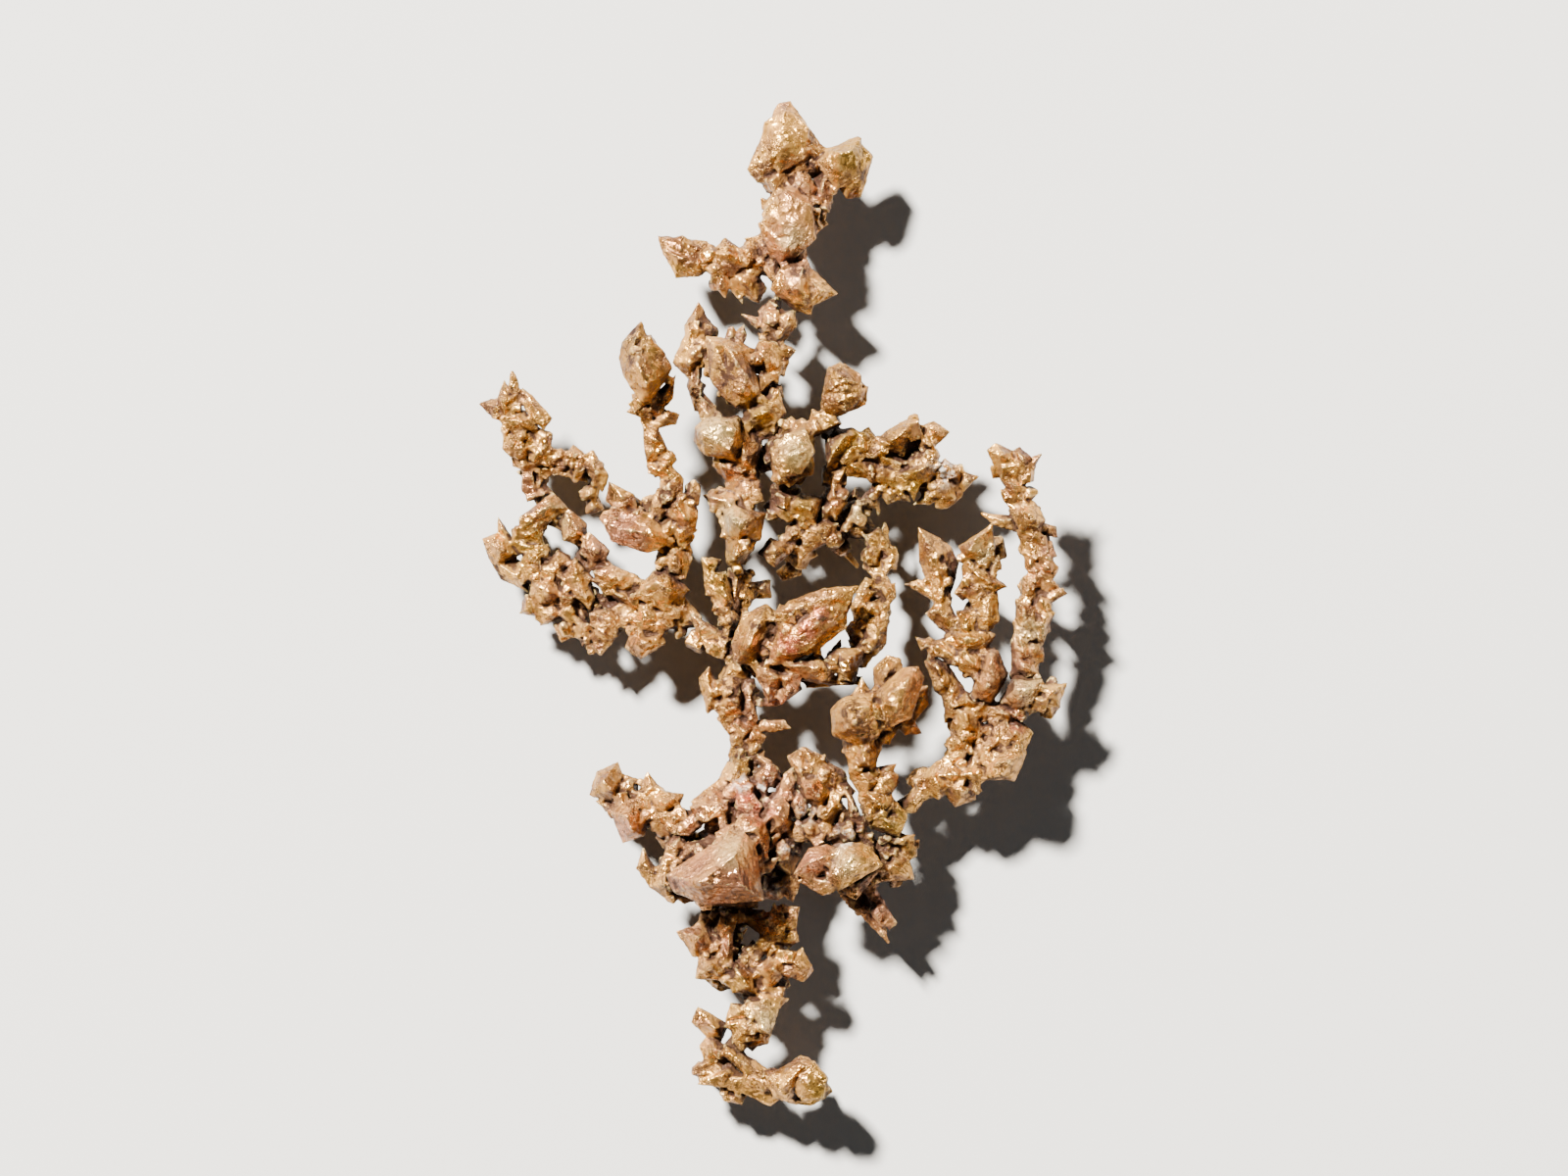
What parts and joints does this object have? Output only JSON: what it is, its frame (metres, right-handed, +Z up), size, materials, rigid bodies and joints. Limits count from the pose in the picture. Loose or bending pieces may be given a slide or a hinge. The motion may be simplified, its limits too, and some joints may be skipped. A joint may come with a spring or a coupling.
{
  "type": "native copper crystal specimen",
  "caption": "Branching, tree-shaped specimen of native copper crystals, for display lying on its back on a shelf or in a drawer.",
  "frame": {"origin": "middle of the tree's bounding box in x and y, on the surface that it lies on", "axes": "+Y from the foot of the trunk to its crown, +X to the tree's right seen from its front, +Z up out of the front of the lying tree"},
  "size_m": [0.047, 0.0804, 0.0145],
  "materials": {
    "hub_copper": "patinated native copper, semi-matte, tan gold with brown in the hollows",
    "lower_stem_copper": "patinated native copper, semi-matte, tan gold with brown in the hollows",
    "foot_hook_copper": "patinated native copper, semi-matte, tan gold with brown in the hollows",
    "lower_left_branch_copper": "patinated native copper, semi-matte, tan gold with brown in the hollows",
    "middle_trunk_copper": "patinated native copper, semi-matte, tan gold with brown in the hollows",
    "leaf_cluster_copper": "patinated native copper, semi-matte, tan gold with brown in the hollows",
    "ring_twig_copper": "patinated native copper, semi-matte, tan gold with brown in the hollows",
    "left_branch_copper": "patinated native copper, semi-matte, tan gold with brown in the hollows",
    "upper_trunk_copper": "patinated native copper, semi-matte, tan gold with brown in the hollows",
    "left_inner_branch_copper": "patinated native copper, semi-matte, tan gold with brown in the hollows",
    "left_outer_branch_copper": "patinated native copper, semi-matte, tan gold with brown in the hollows",
    "crown_copper": "patinated native copper, semi-matte, tan gold with brown in the hollows",
    "paddle_twig_copper": "patinated native copper, semi-matte, tan gold with brown in the hollows",
    "right_upper_branch_copper": "patinated native copper, semi-matte, tan gold with brown in the hollows",
    "lower_right_cluster_copper": "patinated native copper, semi-matte, tan gold with brown in the hollows",
    "middle_right_branch_copper": "patinated native copper, semi-matte, tan gold with brown in the hollows",
    "right_arm_copper": "patinated native copper, semi-matte, tan gold with brown in the hollows",
    "right_outer_branch_copper": "patinated native copper, semi-matte, tan gold with brown in the hollows",
    "right_inner_branch_copper": "patinated native copper, semi-matte, tan gold with brown in the hollows"
  },
  "bodies": {
    "root": {"hub": "hub_copper", "lower_stem": "lower_stem_copper", "foot_hook": "foot_hook_copper", "lower_left_branch": "lower_left_branch_copper", "middle_trunk": "middle_trunk_copper", "leaf_cluster": "leaf_cluster_copper", "ring_twig": "ring_twig_copper", "left_branch": "left_branch_copper", "upper_trunk": "upper_trunk_copper", "left_inner_branch": "left_inner_branch_copper", "left_outer_branch": "left_outer_branch_copper", "crown": "crown_copper", "paddle_twig": "paddle_twig_copper", "right_upper_branch": "right_upper_branch_copper", "lower_right_cluster": "lower_right_cluster_copper", "middle_right_branch": "middle_right_branch_copper", "right_arm": "right_arm_copper", "right_outer_branch": "right_outer_branch_copper", "right_inner_branch": "right_inner_branch_copper"}
  },
  "joints": []
}
